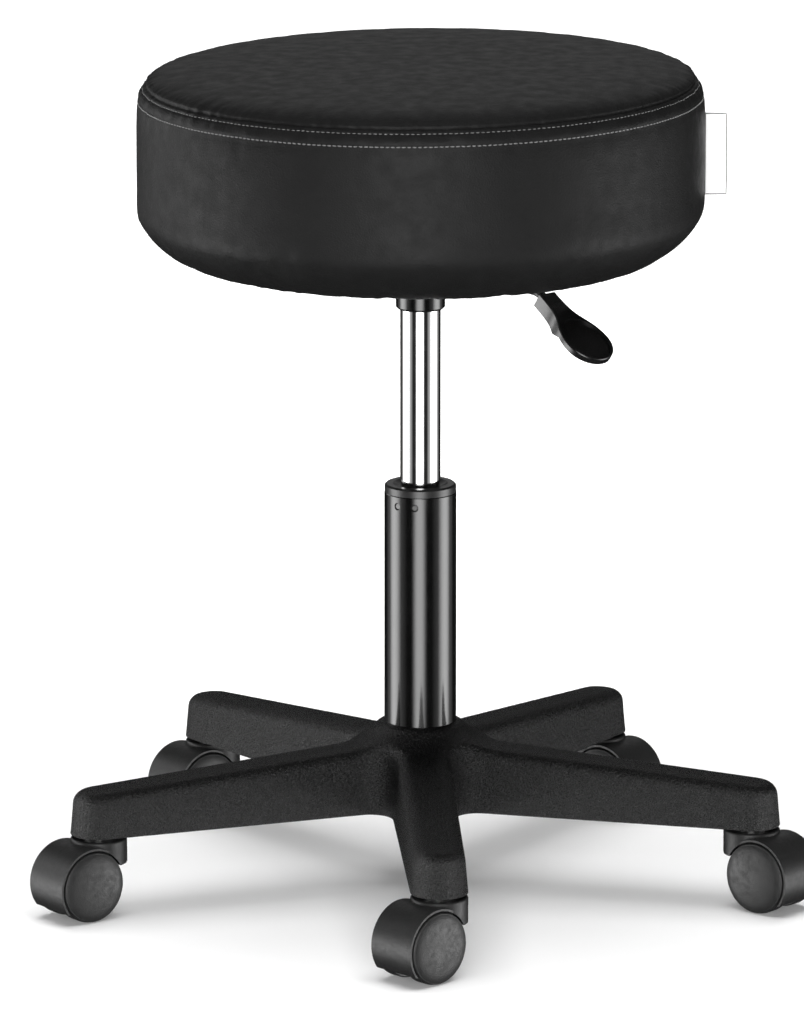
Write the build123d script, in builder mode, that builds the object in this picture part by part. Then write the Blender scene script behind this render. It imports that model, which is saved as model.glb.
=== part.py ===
from build123d import *
import os
from math import cos, radians, sin, tan

# Adjustable swivel stool: a round padded seat on a gas-spring column, standing on a five-arm
# base with twin-wheel casters. Millimetres, +Z up. The origin is on the column's axis at floor
# level, and the front arm points along -Y. The seat is drawn at the top of its travel.

# ---- Driving dimensions ------------------------------------------------------------------

# Base
ARM_NAMES = ["front", "front_right", "rear_right", "rear_left", "front_left"]
ARM_COUNT = len(ARM_NAMES)
FRONT_ARM = -90.0  # direction of the front arm, degrees
STEM_CIRCLE = 237.0  # radius at which the caster stems stand
ARM_BOTTOM = 57.0  # underside of the arms above the floor
ARM_TOP_AT_TIP = 86.0
ARM_TOP_AT_HUB = 101.0
HUB_TOP = 116.0
DOME_RADIUS = 60.0  # where the arms' slope turns up into the hub's dome
DOME_RISE = 4.6  # of the dome's mid point above that
ARM_HALF_AT_TIP = 19.5
ARM_HALF_AT_HUB = 22.0
CROTCH_RADIUS = 16.0  # blend between neighbouring arms, in plan
ARM_DRAFT = 5.0  # degrees
ARM_EDGE_RADIUS = 9.0
ARM_WALL = 4.0
RIB_THICKNESS = 3.0
RIB_STATIONS = [75.0, 115.0, 155.0, 195.0]

# Column
TUBE_RADIUS = 25.0
TUBE_WALL = 1.7
TUBE_BOTTOM = 60.0
TUBE_TOP = 279.0
TUBE_FLOOR = 3.0
TAPER_RADIUS_AT_BOTTOM = 24.3  # the tube's tapered foot, which wedges in the hub
TAPER_TOP = 114.0
BUSH_BOTTOM = 206.0
BUSH_FLANGE_HEIGHT = 5.8  # of the bush's flange, which caps the tube
COLLAR_HEIGHT = 18.0  # of the bush's two collars, which touch the tube
SLEEVE_WALL = 2.5
CRIMP_HEIGHT = 272.0
CRIMP_DIRECTIONS = [-133.0, -102.0, 47.0, 78.0]

# Thrust bearing at the foot of the tube
RACE_THICKNESS = 2.0
RACE_RADIUS = 14.0
BALL_RADIUS = 2.0
BALL_CIRCLE = 10.0
BALL_COUNT = 10
CLIP_THICKNESS = 1.5
GROOVE_DEPTH = 0.8  # of the clip's groove in the rod's foot

# Gas spring
CYLINDER_RADIUS = 14.0
CYLINDER_WALL = 1.5
CYLINDER_BOTTOM = 199.0
CYLINDER_TOP = 431.5
CONE_TIP_RADIUS = 13.38
STROKE = 120.0
ROD_RADIUS = 5.0
ROD_FOOT_RADIUS = 4.0
PISTON_BOTTOM = 222.0
PISTON_HEIGHT = 12.0
PRESSURE_BORE = 10.5
PRESSURE_WALL = 1.1
RING_WIDTH = 2.4
SEAL_HEIGHT = 4.0
VALVE_BOTTOM = 411.0
SPIGOT_LENGTH = 6.0  # by which the valve body enters the pressure tube
BUTTON_RADIUS = 3.0
BUTTON_TOP = 437.9
BUTTON_LENGTH = 22.5

# Seat plate and lever
SOCKET_BOTTOM = 408.0
SOCKET_RADIUS = 17.0
PAN_BOTTOM = 430.0
PAN_FLOOR_RADIUS = 50.0
PAN_RIM_RADIUS = 56.0
PLATE_THICKNESS = 2.5
PLATE_TOP = 445.1
PLATE_ARM_WIDTH = 32.0
BOLT_CIRCLE = 92.0
BOLT_RADIUS = 4.0
BOLT_LENGTH = 20.0
BOLT_HEAD_RADIUS = 6.5
BOLT_HEAD_HEIGHT = 4.5
WASHER_RADIUS = 9.0
WASHER_THICKNESS = 1.5
T_NUT_FLANGE = 9.5
T_NUT_BARREL = 5.2
EYE_HALF_WIDTH = 3.5  # of the lever's pivot eye
EAR_GAP = 0.4
EAR_THICKNESS = 2.5
PIN_RADIUS = 2.0
LEVER_DIRECTION = -49.7  # degrees, seen from above
PIVOT_RADIUS = 40.0  # distance of the lever's pivot from the column's axis
PIVOT_HEIGHT = 439.5
LEVER_ROD_RADIUS = 3.0
LEVER_DROOP = 2.5  # slope of the straight part, degrees
LEVER_BEND = 117.0  # where the rod turns down to the handle
HANDLE_DROOP = 34.0
HANDLE_START = 122.0
HANDLE_LENGTH = 67.0
PADDLE_WIDTH = 37.0
NECK_WIDTH = 14.0
NECK_LENGTH = 25.0  # where the neck starts to thin down to the paddle

# Seat
SEAT_RADIUS = 194.5
SEAT_CREST = 579.0
SEAM_HEIGHT = 564.0
SEAM_RADIUS = 190.0
BOARD_RADIUS = 144.0
BOARD_BOTTOM = 447.0
BOARD_THICKNESS = 12.0
BOARD_TOP = BOARD_BOTTOM + BOARD_THICKNESS
COVER_THICKNESS = 1.2
LIP_RADIUS = 126.0  # inner edge of the cover where it is stapled under the board
STAPLE_COUNT = 24
STAPLE_CIRCLE = 134.0
COVER_BOTTOM = 445.75
CORNER_RADIUS = 40.0  # between the side and the underside
SIDE_TOP = 546.0  # where the side starts to lean in to the seam
CROWN_FLAT = 60.0  # radius of the flat centre of the top
DUST_COVER_RADIUS = 140.0
DUST_COVER_THICKNESS = 0.6
DUST_COVER_BOTTOM = 445.12
SHOULDER_IN = 15.0  # where the top's edge meets its crown, from the seam and from the crest
SHOULDER_DROP = 5.0
TAG_DIRECTION = -3.0
TAG_WIDTH = 16.0
TAG_HEIGHT = 58.0
TAG_BOTTOM = 485.0
TAG_THICKNESS = 0.7

# Casters
WHEEL_RADIUS = 25.0
TRAIL = 18.0  # of the axle behind the stem
HOOD_RADIUS = 27.0
HOOD_HALF_WIDTH = 18.8
BOSS_RADIUS = 19.5
BOSS_TOP = 54.5
BOSS_BOTTOM = 35.0
WEB_HALF_WIDTH = 7.2
WHEEL_INNER_FACE = 8.1
TREAD_OUTER_FACE = 17.2
CAP_RADIUS = 24.4
CAP_RIM_FACE = 19.7  # outer edge of the cap's rim, which stands proud of the hood
CAP_CREST = 22.3
AXLE_RADIUS = 3.0
AXLE_HALF_LENGTH = 16.0
STEM_FOOT_RADIUS = 4.0
STEM_FOOT_BOTTOM = 31.0
STEM_RADIUS = 5.5
STEM_COLLAR_RADIUS = 10.0
STEM_TOP = 80.0
SOCKET_DEPTH = 26.0  # of the stem sockets in the arms
GRIP_RING_HEIGHT = 70.0
# The direction in which each caster trails, degrees, in the order of ARM_NAMES
CASTER_HEADINGS = [-139.0, -44.0, -44.0, -144.0, -145.0]

# Clearances
RUNNING_FIT = 0.05  # radial, between a shaft and its bore
SNUG_FIT = 0.02  # radial, between pieces that don't move on each other

os.makedirs("parts", exist_ok=True)


def save(builder, name):
    """Label a finished sub-part and write its STEP file."""
    builder.part.label = name
    export_step(builder.part, f"parts/{name}.step")


def polar(radius, degrees, height=0.0):
    """The point at a radius and direction round the column's axis."""
    return (radius * cos(radians(degrees)), radius * sin(radians(degrees)), height)


def ring(radius_in, radius_out, bottom, top):
    """A plain ring round the column's axis."""
    with BuildPart() as washer:
        with BuildSketch(Plane.XY.offset(bottom)):
            Circle(radius_out)
            Circle(radius_in, mode=Mode.SUBTRACT)
        extrude(amount=top - bottom)
    return washer


# ---- Five-arm base -----------------------------------------------------------------------


def star_outline(inset=0.0):
    """Plan of the base: five tapering round-ended arms, blended round the hub."""
    with BuildSketch() as arm:
        Circle(ARM_HALF_AT_HUB)
        with Locations((STEM_CIRCLE, 0)):
            Circle(ARM_HALF_AT_TIP)
        make_hull()
    with BuildSketch() as star:
        with PolarLocations(0, ARM_COUNT, start_angle=FRONT_ARM):
            add(arm.sketch)
        fillet(star.vertices().sort_by_distance((0, 0, 0))[:ARM_COUNT], CROTCH_RADIUS)
        if inset:
            offset(amount=-inset, mode=Mode.REPLACE)
    return star.sketch


def star_envelope(drop=0.0):
    """Half section of the base's top surface, which a revolve turns into its crown."""
    with BuildSketch(Plane.XZ) as envelope:
        with BuildLine():
            reach = STEM_CIRCLE + ARM_HALF_AT_TIP + 5
            slope_end = (DOME_RADIUS, ARM_TOP_AT_HUB - drop)
            Polyline(
                (0, HUB_TOP - drop),
                (0, ARM_BOTTOM),
                (reach, ARM_BOTTOM),
                (reach, ARM_TOP_AT_TIP - drop),
                slope_end,
            )
            dome_top = (TUBE_RADIUS + 3, HUB_TOP - drop)
            ThreePointArc(slope_end, (DOME_RADIUS - 18, ARM_TOP_AT_HUB + DOME_RISE - drop), dome_top)
            Line(dome_top, (0, HUB_TOP - drop))
        make_face()
    return envelope.sketch


def make_star_base():
    """Moulded nylon base, hollow from below with a rib along each arm and four across it."""
    rise = HUB_TOP - ARM_BOTTOM + 4

    with BuildPart() as pockets:
        with BuildSketch(Plane.XY.offset(ARM_BOTTOM)):
            add(star_outline(ARM_WALL))
        extrude(amount=rise, taper=ARM_DRAFT)
        add(star_envelope(drop=ARM_WALL))
        revolve(axis=Axis.Z, mode=Mode.INTERSECT)
        with BuildSketch(Plane.XY.offset(ARM_BOTTOM)):
            Circle(TUBE_RADIUS + 9)
            with PolarLocations(STEM_CIRCLE, ARM_COUNT, start_angle=FRONT_ARM):
                Circle(STEM_RADIUS + 5)
            with PolarLocations(STEM_CIRCLE / 2, ARM_COUNT, start_angle=FRONT_ARM):
                Rectangle(STEM_CIRCLE, RIB_THICKNESS)
            for station in RIB_STATIONS:
                with PolarLocations(station, ARM_COUNT, start_angle=FRONT_ARM):
                    Rectangle(RIB_THICKNESS, 2 * ARM_HALF_AT_HUB + 10)
        extrude(amount=rise, mode=Mode.SUBTRACT)

    with BuildPart() as base:
        with BuildSketch(Plane.XY.offset(ARM_BOTTOM)):
            add(star_outline())
        extrude(amount=rise, taper=ARM_DRAFT)
        add(star_envelope())
        revolve(axis=Axis.Z, mode=Mode.INTERSECT)
        crown_faces = base.faces().filter_by(lambda f: f.normal_at().Z > 0.8)
        rim = [e for f in crown_faces for e in f.edges() if e.length > 1]
        fillet(rim, ARM_EDGE_RADIUS)
        add(pockets.part, mode=Mode.SUBTRACT)
        # Tapered bore that holds the column
        with BuildSketch(Plane.XZ):
            with BuildLine():
                Polyline(
                    (0, ARM_BOTTOM - 1),
                    (TAPER_RADIUS_AT_BOTTOM + SNUG_FIT, ARM_BOTTOM - 1),
                    (TAPER_RADIUS_AT_BOTTOM + SNUG_FIT, TUBE_BOTTOM),
                    (TUBE_RADIUS + SNUG_FIT, TAPER_TOP),
                    (TUBE_RADIUS + SNUG_FIT, HUB_TOP + 5),
                    (0, HUB_TOP + 5),
                    close=True,
                )
            make_face()
        revolve(axis=Axis.Z, mode=Mode.SUBTRACT)
        # Sockets for the caster stems
        with BuildSketch(Plane.XY.offset(ARM_BOTTOM)):
            with PolarLocations(STEM_CIRCLE, ARM_COUNT, start_angle=FRONT_ARM):
                Circle(STEM_RADIUS + 0.5)
        extrude(amount=SOCKET_DEPTH, mode=Mode.SUBTRACT)
    save(base, "star_base")


make_star_base()


# ---- Column ------------------------------------------------------------------------------


def make_outer_tube():
    """Steel column tube: tapered foot with a floor for the bearing, crimped near its top."""
    inner = TUBE_RADIUS - TUBE_WALL
    crimp_radius = 3.0
    crimp_depth = 0.9
    with BuildPart() as tube:
        with BuildSketch(Plane.XZ):
            with BuildLine():
                Polyline(
                    (ROD_FOOT_RADIUS + 0.6, TUBE_BOTTOM),
                    (TAPER_RADIUS_AT_BOTTOM, TUBE_BOTTOM),
                    (TUBE_RADIUS, TAPER_TOP),
                    (TUBE_RADIUS, TUBE_TOP),
                    (inner, TUBE_TOP),
                    (inner, TAPER_TOP),
                    (TAPER_RADIUS_AT_BOTTOM - TUBE_WALL, TUBE_BOTTOM + TUBE_FLOOR),
                    (ROD_FOOT_RADIUS + 0.6, TUBE_BOTTOM + TUBE_FLOOR),
                    close=True,
                )
            make_face()
        revolve(axis=Axis.Z)
        top_edges = tube.edges().filter_by(GeomType.CIRCLE).group_by(Axis.Z)[-1]
        fillet(top_edges.sort_by(SortBy.RADIUS)[-1], 0.6)
        for direction in CRIMP_DIRECTIONS:
            outward = Vector(*polar(1, direction))
            start = outward * (TUBE_RADIUS - crimp_depth) + Vector(0, 0, CRIMP_HEIGHT)
            with BuildSketch(Plane(origin=start, z_dir=outward)):
                Circle(crimp_radius * 0.6)
            extrude(amount=3, taper=-40, mode=Mode.SUBTRACT)
    save(tube, "outer_tube")


def make_guide_bush():
    """Plastic sleeve in which the gas cylinder slides and turns, flanged over the tube's end."""
    bush_radius = TUBE_RADIUS - TUBE_WALL - 0.1
    flange_radius = TUBE_RADIUS - 0.2
    flange_top = TUBE_TOP + BUSH_FLANGE_HEIGHT
    with BuildPart() as bush:
        with BuildSketch(Plane.XZ):
            with BuildLine():
                Polyline(
                    (CYLINDER_RADIUS + RUNNING_FIT, BUSH_BOTTOM),
                    (bush_radius, BUSH_BOTTOM),
                    (bush_radius, BUSH_BOTTOM + COLLAR_HEIGHT),
                    (CYLINDER_RADIUS + SLEEVE_WALL, BUSH_BOTTOM + COLLAR_HEIGHT),
                    (CYLINDER_RADIUS + SLEEVE_WALL, TUBE_TOP - COLLAR_HEIGHT),
                    (bush_radius, TUBE_TOP - COLLAR_HEIGHT),
                    (bush_radius, TUBE_TOP),
                    (flange_radius, TUBE_TOP),
                    (flange_radius, flange_top - 1.2),
                    (flange_radius - 1.2, flange_top),
                    (CYLINDER_RADIUS + 5, flange_top),
                    (CYLINDER_RADIUS + RUNNING_FIT, flange_top - 2.5),
                    close=True,
                )
            make_face()
        revolve(axis=Axis.Z)
    save(bush, "guide_bush")


make_outer_tube()
make_guide_bush()


# ---- Thrust bearing and piston rod, which turn together in the tube -------------------------

LOWER_RACE_BOTTOM = TUBE_BOTTOM + TUBE_FLOOR
BALL_LEVEL = LOWER_RACE_BOTTOM + RACE_THICKNESS + BALL_RADIUS + RUNNING_FIT
UPPER_RACE_BOTTOM = BALL_LEVEL + BALL_RADIUS + RUNNING_FIT
SHOULDER = UPPER_RACE_BOTTOM + RACE_THICKNESS
BUMPER_TOP = CYLINDER_BOTTOM - STROKE - 0.5

lower_race = ring(
    ROD_FOOT_RADIUS + 0.5, RACE_RADIUS, LOWER_RACE_BOTTOM, LOWER_RACE_BOTTOM + RACE_THICKNESS
)
save(lower_race, "lower_race")

upper_race = ring(ROD_FOOT_RADIUS + SNUG_FIT, RACE_RADIUS, UPPER_RACE_BOTTOM, SHOULDER)
save(upper_race, "upper_race")

with BuildPart() as bearing_balls:
    with PolarLocations(BALL_CIRCLE, BALL_COUNT):
        with Locations((0, 0, BALL_LEVEL)):
            Sphere(BALL_RADIUS)
save(bearing_balls, "bearing_balls")

with BuildPart() as ball_cage:
    with BuildSketch(Plane.XY.offset(BALL_LEVEL - 0.8)):
        Circle(RACE_RADIUS - 0.5)
        Circle(BALL_CIRCLE - 3.5, mode=Mode.SUBTRACT)
        with PolarLocations(BALL_CIRCLE, BALL_COUNT):
            Circle(BALL_RADIUS + 0.1, mode=Mode.SUBTRACT)
    extrude(amount=1.6)
save(ball_cage, "ball_cage")

bumper = ring(ROD_RADIUS + 0.1, RACE_RADIUS - 1, SHOULDER + 0.1, BUMPER_TOP)
save(bumper, "bumper")

CLIP_TOP = TUBE_BOTTOM - 0.4
ROD_BOTTOM = CLIP_TOP - 4.0
PISTON_TOP = PISTON_BOTTOM + PISTON_HEIGHT

with BuildPart() as piston_rod:
    with BuildSketch(Plane.XZ):
        with BuildLine():
            Polyline(
                (0, ROD_BOTTOM),
                (ROD_FOOT_RADIUS, ROD_BOTTOM),
                (ROD_FOOT_RADIUS, CLIP_TOP - CLIP_THICKNESS - SNUG_FIT),
                (ROD_FOOT_RADIUS - GROOVE_DEPTH, CLIP_TOP - CLIP_THICKNESS - SNUG_FIT),
                (ROD_FOOT_RADIUS - GROOVE_DEPTH, CLIP_TOP + SNUG_FIT),
                (ROD_FOOT_RADIUS, CLIP_TOP + SNUG_FIT),
                (ROD_FOOT_RADIUS, SHOULDER + SNUG_FIT),
                (ROD_RADIUS, SHOULDER + SNUG_FIT),
                (ROD_RADIUS, PISTON_BOTTOM),
                (ROD_FOOT_RADIUS, PISTON_BOTTOM),
                (ROD_FOOT_RADIUS, PISTON_TOP + 2),
                (0, PISTON_TOP + 2),
                close=True,
            )
        make_face()
    revolve(axis=Axis.Z)
save(piston_rod, "piston_rod")

with BuildPart() as rod_clip:
    with BuildSketch(Plane.XY.offset(CLIP_TOP - CLIP_THICKNESS)):
        Circle(ROD_FOOT_RADIUS + 3)
        Circle(ROD_FOOT_RADIUS - GROOVE_DEPTH + SNUG_FIT, mode=Mode.SUBTRACT)
        with Locations((ROD_FOOT_RADIUS + 2, 0)):
            Rectangle(ROD_FOOT_RADIUS + 4, 4, mode=Mode.SUBTRACT)
    extrude(amount=CLIP_THICKNESS)
save(rod_clip, "rod_clip")

PISTON_RADIUS = PRESSURE_BORE - RUNNING_FIT
RING_BOTTOM = PISTON_BOTTOM + (PISTON_HEIGHT - RING_WIDTH) / 2

with BuildPart() as piston:
    with BuildSketch(Plane.XY.offset(PISTON_BOTTOM)):
        Circle(PISTON_RADIUS)
        Circle(ROD_FOOT_RADIUS + SNUG_FIT, mode=Mode.SUBTRACT)
    extrude(amount=PISTON_HEIGHT)
    with BuildSketch(Plane.XY.offset(RING_BOTTOM)):
        Circle(PISTON_RADIUS)
        Circle(PISTON_RADIUS - 2, mode=Mode.SUBTRACT)
    extrude(amount=RING_WIDTH, mode=Mode.SUBTRACT)
save(piston, "piston")

piston_ring = ring(
    PISTON_RADIUS - 2 + SNUG_FIT,
    PISTON_RADIUS,
    RING_BOTTOM + SNUG_FIT,
    RING_BOTTOM + RING_WIDTH - SNUG_FIT,
)
save(piston_ring, "piston_ring")


# ---- Gas cylinder ----------------------------------------------------------------------------

CYLINDER_BORE = CYLINDER_RADIUS - CYLINDER_WALL
GLAND_BOTTOM = CYLINDER_BOTTOM + 0.5
GLAND_TOP = GLAND_BOTTOM + 14.0
VALVE_TOP = CYLINDER_TOP - 0.5

with BuildPart() as gas_cylinder:
    with BuildSketch(Plane.XZ):
        with BuildLine():
            Polyline(
                (CYLINDER_BORE, CYLINDER_BOTTOM),
                (CYLINDER_RADIUS, CYLINDER_BOTTOM),
                (CYLINDER_RADIUS, SOCKET_BOTTOM),
                (CONE_TIP_RADIUS, CYLINDER_TOP),
                (CYLINDER_BORE, CYLINDER_TOP),
                close=True,
            )
        make_face()
    revolve(axis=Axis.Z)
save(gas_cylinder, "gas_cylinder")

pressure_tube = ring(PRESSURE_BORE, PRESSURE_BORE + PRESSURE_WALL, GLAND_TOP, VALVE_BOTTOM)
save(pressure_tube, "pressure_tube")

rod_guide = ring(ROD_RADIUS + RUNNING_FIT, CYLINDER_BORE - SNUG_FIT, GLAND_BOTTOM, GLAND_TOP - SNUG_FIT)
save(rod_guide, "rod_guide")

rod_seal = ring(ROD_RADIUS + RUNNING_FIT, PRESSURE_BORE - SNUG_FIT, GLAND_TOP, GLAND_TOP + SEAL_HEIGHT)
save(rod_seal, "rod_seal")

with BuildPart() as valve_body:
    with BuildSketch(Plane.XY.offset(VALVE_BOTTOM + SNUG_FIT)):
        Circle(CYLINDER_BORE - SNUG_FIT)
    extrude(amount=VALVE_TOP - VALVE_BOTTOM)
    with BuildSketch(Plane.XY.offset(VALVE_BOTTOM - SPIGOT_LENGTH)):
        Circle(PRESSURE_BORE - SNUG_FIT)
    extrude(amount=SPIGOT_LENGTH + 1)
    with BuildSketch(Plane.XY.offset(BUTTON_TOP - BUTTON_LENGTH - 3)):
        Circle(BUTTON_RADIUS + RUNNING_FIT)
    extrude(amount=BUTTON_LENGTH, mode=Mode.SUBTRACT)
save(valve_body, "valve_body")

with BuildPart() as release_button:
    with BuildSketch(Plane.XY.offset(BUTTON_TOP - BUTTON_LENGTH)):
        Circle(BUTTON_RADIUS)
    extrude(amount=BUTTON_LENGTH)
    fillet(release_button.edges().group_by(Axis.Z)[-1], 1.0)
save(release_button, "release_button")


# ---- Seat plate with its cone socket -----------------------------------------------------------

with BuildPart() as cone_socket:
    with BuildSketch(Plane.XZ):
        with BuildLine():
            Polyline(
                (CYLINDER_RADIUS + SNUG_FIT, SOCKET_BOTTOM),
                (SOCKET_RADIUS - 1.5, SOCKET_BOTTOM),
                (SOCKET_RADIUS, SOCKET_BOTTOM + 1.5),
                (SOCKET_RADIUS, PAN_BOTTOM + PLATE_THICKNESS),
                (CONE_TIP_RADIUS + SNUG_FIT, PAN_BOTTOM + PLATE_THICKNESS),
                close=True,
            )
        make_face()
    revolve(axis=Axis.Z)
save(cone_socket, "cone_socket")

# Working plane of the lever: X runs outwards along it, Y is up, and Z is the pivot's axis
LEVER_PLANE = Plane(
    origin=(0, 0, 0),
    x_dir=polar(1, LEVER_DIRECTION),
    z_dir=(sin(radians(LEVER_DIRECTION)), -cos(radians(LEVER_DIRECTION)), 0),
)
PLATE_DIRECTIONS = [LEVER_DIRECTION + 45 + 90 * i for i in range(4)]


def make_seat_plate():
    """Pressed plate: a round pan for the mechanism, and four arms bolted to the seat board."""
    flange_bottom = PLATE_TOP - PLATE_THICKNESS
    with BuildPart() as plate:
        with BuildSketch(Plane.XZ):
            with BuildLine():
                Polyline(
                    (SOCKET_RADIUS + SNUG_FIT, PAN_BOTTOM),
                    (PAN_FLOOR_RADIUS, PAN_BOTTOM),
                    (PAN_RIM_RADIUS, flange_bottom),
                    (PAN_RIM_RADIUS + 7, flange_bottom),
                    (PAN_RIM_RADIUS + 7, PLATE_TOP),
                    (PAN_RIM_RADIUS - 2, PLATE_TOP),
                    (PAN_FLOOR_RADIUS - 2, PAN_BOTTOM + PLATE_THICKNESS),
                    (SOCKET_RADIUS + SNUG_FIT, PAN_BOTTOM + PLATE_THICKNESS),
                    close=True,
                )
            make_face()
        revolve(axis=Axis.Z)
        # Four arms, each with a bolt hole near its rounded end
        with BuildSketch(Plane.XY.offset(flange_bottom)):
            with PolarLocations(0, 4, start_angle=PLATE_DIRECTIONS[0]):
                with Locations((BOLT_CIRCLE / 2, 0)):
                    Rectangle(BOLT_CIRCLE, PLATE_ARM_WIDTH)
            with PolarLocations(BOLT_CIRCLE, 4, start_angle=PLATE_DIRECTIONS[0]):
                Circle(PLATE_ARM_WIDTH / 2)
            Circle(PAN_RIM_RADIUS - 1, mode=Mode.SUBTRACT)
            with PolarLocations(BOLT_CIRCLE, 4, start_angle=PLATE_DIRECTIONS[0]):
                Circle(BOLT_RADIUS + 0.4, mode=Mode.SUBTRACT)
        extrude(amount=PLATE_THICKNESS)
        # Two ears that carry the lever's pin
        ear_offset = EYE_HALF_WIDTH + EAR_GAP
        ear_height = PLATE_TOP - PAN_BOTTOM - PLATE_THICKNESS - 1.5
        for side in (1, -1):
            with BuildSketch(LEVER_PLANE.offset(side * ear_offset)):
                with Locations((PIVOT_RADIUS, PAN_BOTTOM + PLATE_THICKNESS + ear_height / 2 - 0.2)):
                    Rectangle(11, ear_height)
            extrude(amount=side * EAR_THICKNESS)
        with BuildSketch(LEVER_PLANE.offset(-10)):
            with Locations((PIVOT_RADIUS, PIVOT_HEIGHT)):
                Circle(PIN_RADIUS + SNUG_FIT)
        extrude(amount=20, mode=Mode.SUBTRACT)
        # Slot in the pan's wall through which the lever leaves
        with BuildSketch(LEVER_PLANE.offset(-6)):
            with Locations((PAN_RIM_RADIUS + 4, PAN_BOTTOM + PLATE_THICKNESS + 11.5)):
                Rectangle(26, 20)
        extrude(amount=12, mode=Mode.SUBTRACT)
    save(plate, "seat_plate")


make_seat_plate()

with BuildPart() as lever_pin:
    pin_half = EYE_HALF_WIDTH + EAR_GAP + EAR_THICKNESS + 1
    with BuildSketch(LEVER_PLANE.offset(-pin_half)):
        with Locations((PIVOT_RADIUS, PIVOT_HEIGHT)):
            Circle(PIN_RADIUS)
    extrude(amount=2 * pin_half)
save(lever_pin, "lever_pin")

HEAD_TOP = PLATE_TOP - PLATE_THICKNESS - WASHER_THICKNESS

with BuildPart() as seat_bolts:
    with BuildSketch(Plane.XY.offset(HEAD_TOP)):
        with PolarLocations(BOLT_CIRCLE, 4, start_angle=PLATE_DIRECTIONS[0]):
            Circle(BOLT_RADIUS - SNUG_FIT)
    extrude(amount=BOLT_LENGTH - BOLT_HEAD_HEIGHT)
    with BuildSketch(Plane.XY.offset(HEAD_TOP)):
        with PolarLocations(BOLT_CIRCLE, 4, start_angle=PLATE_DIRECTIONS[0]):
            RegularPolygon(BOLT_HEAD_RADIUS, 6)
    extrude(amount=-BOLT_HEAD_HEIGHT)
save(seat_bolts, "seat_bolts")

with BuildPart() as bolt_washers:
    with BuildSketch(Plane.XY.offset(HEAD_TOP)):
        with PolarLocations(BOLT_CIRCLE, 4, start_angle=PLATE_DIRECTIONS[0]):
            Circle(WASHER_RADIUS)
            Circle(BOLT_RADIUS + 0.2, mode=Mode.SUBTRACT)
    extrude(amount=WASHER_THICKNESS)
save(bolt_washers, "bolt_washers")

with BuildPart() as t_nuts:
    with BuildSketch(Plane.XY.offset(BOARD_BOTTOM + 1)):
        with PolarLocations(BOLT_CIRCLE, 4, start_angle=PLATE_DIRECTIONS[0]):
            Circle(T_NUT_BARREL)
    extrude(amount=BOARD_THICKNESS - 1)
    with BuildSketch(Plane.XY.offset(BOARD_TOP - WASHER_THICKNESS)):
        with PolarLocations(BOLT_CIRCLE, 4, start_angle=PLATE_DIRECTIONS[0]):
            Circle(T_NUT_FLANGE)
    extrude(amount=WASHER_THICKNESS)
    with BuildSketch(Plane.XY.offset(BOARD_BOTTOM)):
        with PolarLocations(BOLT_CIRCLE, 4, start_angle=PLATE_DIRECTIONS[0]):
            Circle(BOLT_RADIUS)
    extrude(amount=BOARD_THICKNESS + 1, mode=Mode.SUBTRACT)
save(t_nuts, "t_nuts")


# ---- Lever ---------------------------------------------------------------------------------


def make_lever_rod():
    """Bent rod with a pivot eye; its inner end lies over the release button."""
    slope = tan(radians(LEVER_DROOP))
    handle_slope = tan(radians(HANDLE_DROOP))
    grip_end = HANDLE_START + 24
    bend_height = PIVOT_HEIGHT - (LEVER_BEND - PIVOT_RADIUS) * slope
    with BuildPart() as rod:
        with BuildLine(LEVER_PLANE):
            FilletPolyline(
                (-4, PIVOT_HEIGHT + (PIVOT_RADIUS + 4) * slope),
                (LEVER_BEND, bend_height),
                (grip_end, bend_height - (grip_end - LEVER_BEND) * handle_slope),
                radius=18,
            )
        start = LEVER_PLANE.from_local_coords((-4, PIVOT_HEIGHT + (PIVOT_RADIUS + 4) * slope, 0))
        with BuildSketch(Plane(origin=start, z_dir=LEVER_PLANE.x_dir - Vector(0, 0, slope))):
            Circle(LEVER_ROD_RADIUS)
        sweep()
        with BuildSketch(LEVER_PLANE.offset(-EYE_HALF_WIDTH)):
            with Locations((PIVOT_RADIUS, PIVOT_HEIGHT)):
                Circle(LEVER_ROD_RADIUS + 2)
        extrude(amount=2 * EYE_HALF_WIDTH)
        with BuildSketch(LEVER_PLANE.offset(-EYE_HALF_WIDTH - 1)):
            with Locations((PIVOT_RADIUS, PIVOT_HEIGHT)):
                Circle(PIN_RADIUS + RUNNING_FIT)
        extrude(amount=2 * EYE_HALF_WIDTH + 2, mode=Mode.SUBTRACT)
    save(rod, "lever_rod")


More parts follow.
